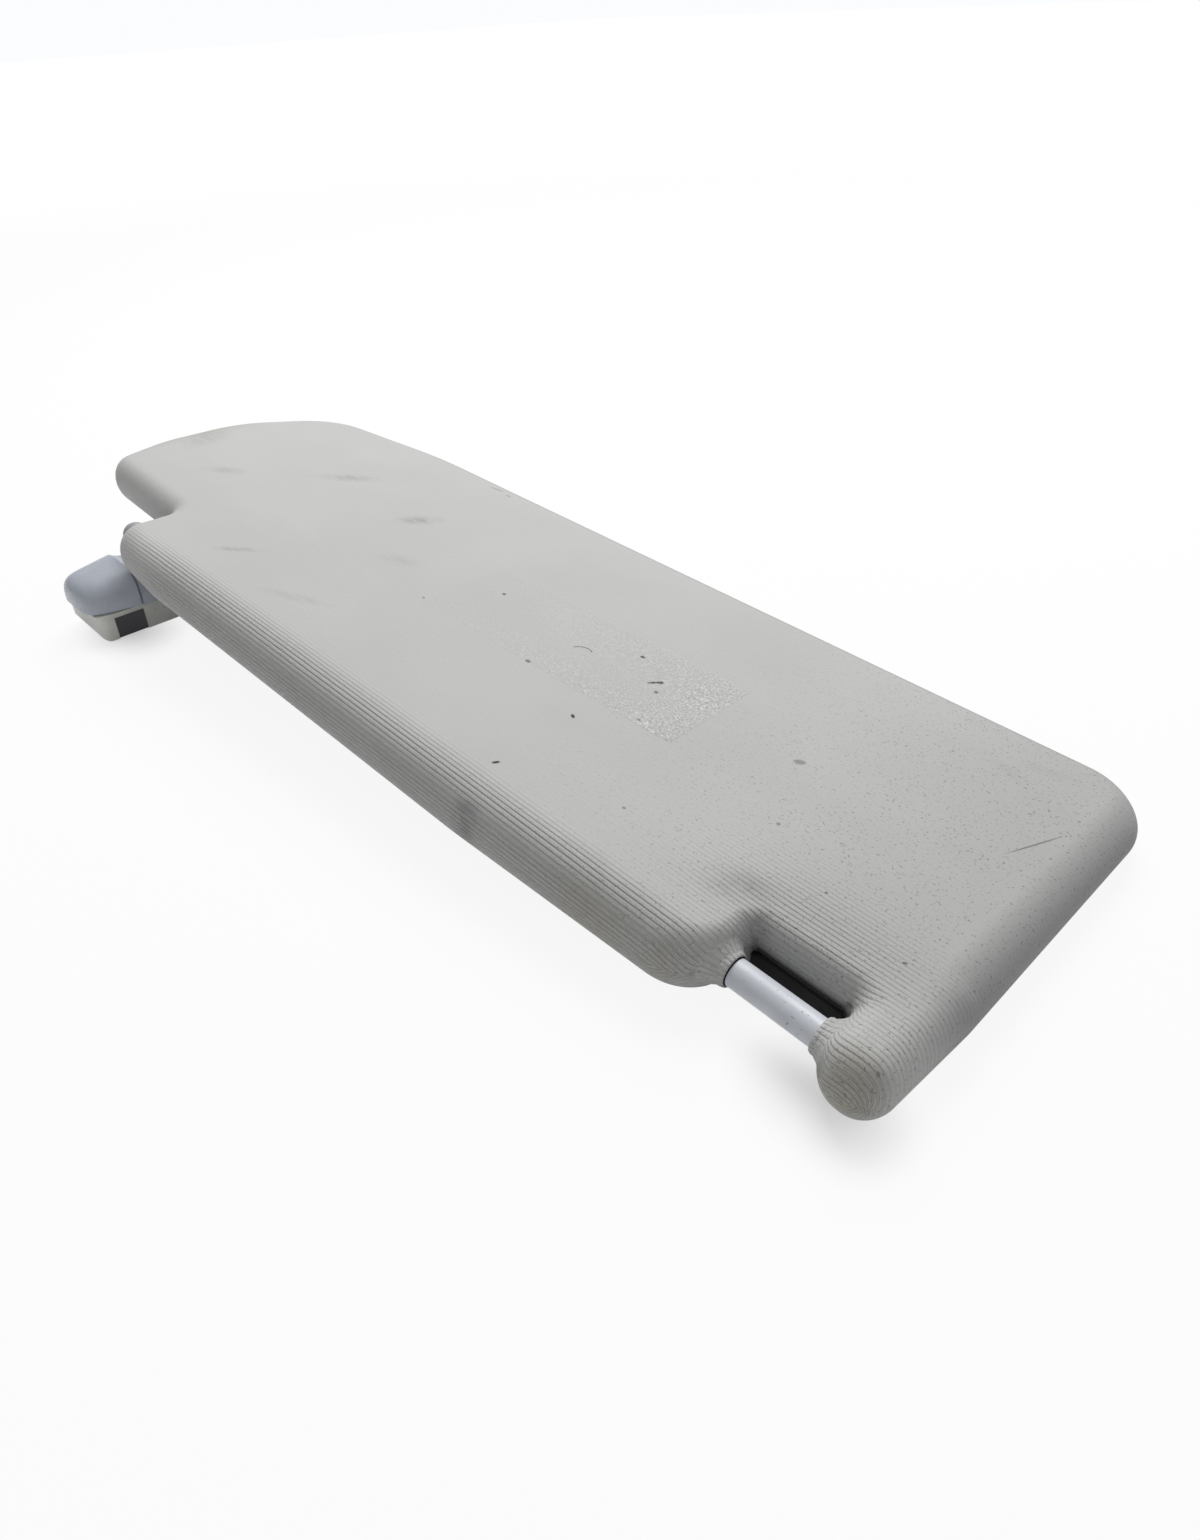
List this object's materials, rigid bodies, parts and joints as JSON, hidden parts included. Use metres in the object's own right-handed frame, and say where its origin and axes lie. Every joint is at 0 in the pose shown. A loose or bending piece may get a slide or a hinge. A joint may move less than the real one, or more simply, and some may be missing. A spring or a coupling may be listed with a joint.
{
  "type": "car sun visor",
  "caption": "Cloth-covered foam car sun visor with a notched outboard end, a round clip bar in a slot near its inboard end, and a swivel mount with a bent pivot rod",
  "frame": {"origin": "where the swivel axis meets the roof face of the mount, on the face's plane", "axes": "+X along the hinge rod from the swivel axis towards the clip bar, +Y from the hinge edge to the far edge of the visor, +Z away from the roof along the swivel axis"},
  "size_m": [0.4662, 0.1826, 0.0467],
  "materials": {
    "cover_cloth": "fine ribbed warm grey knit, matt, smudged with use",
    "core_foam": "moulded bead foam",
    "base_plastic": "pale grey moulded plastic",
    "cap_plastic": "satin blue-grey moulded plastic",
    "sheath_plastic": "grey moulded plastic",
    "bar_plastic": "satin blue-grey moulded plastic",
    "black_plastic": "black moulded plastic",
    "block_plastic": "dark moulded plastic",
    "bush_plastic": "natural white bearing plastic",
    "rod_steel": "drawn steel",
    "spring_steel": "blued spring steel"
  },
  "bodies": {
    "mount": {"mount_base": "base_plastic", "roof_clip": "black_plastic", "bearing_tower": "cap_plastic", "screw_cover_cap": "cap_plastic", "swivel_bush": "bush_plastic", "swivel_spring": "spring_steel"},
    "arm": {"pivot_arm": "rod_steel", "elbow_sheath": "sheath_plastic", "swivel_washer": "bush_plastic", "retaining_ring": "spring_steel", "arm_end_clip": "spring_steel"},
    "visor": {"cover": "cover_cloth", "core_lower": "core_foam", "core_upper": "core_foam", "hinge_block_lower": "block_plastic", "hinge_block_upper": "block_plastic", "detent_spring": "spring_steel", "block_rivets": "rod_steel", "lobe_grommet": "sheath_plastic", "wire_frame": "rod_steel", "clip_bar": "bar_plastic", "bar_carrier": "block_plastic"}
  },
  "joints": [
    {"name": "arm_swivel", "type": "hinge", "parent": "mount", "child": "arm", "pos_m": [0, 0, 0], "axis": [0, 0, 1], "range_deg": [0, 90]},
    {"name": "visor_flip", "type": "hinge", "parent": "arm", "child": "visor", "pos_m": [0, 0, 0.035], "axis": [1, 0, 0], "range_deg": [0, 150]}
  ]
}
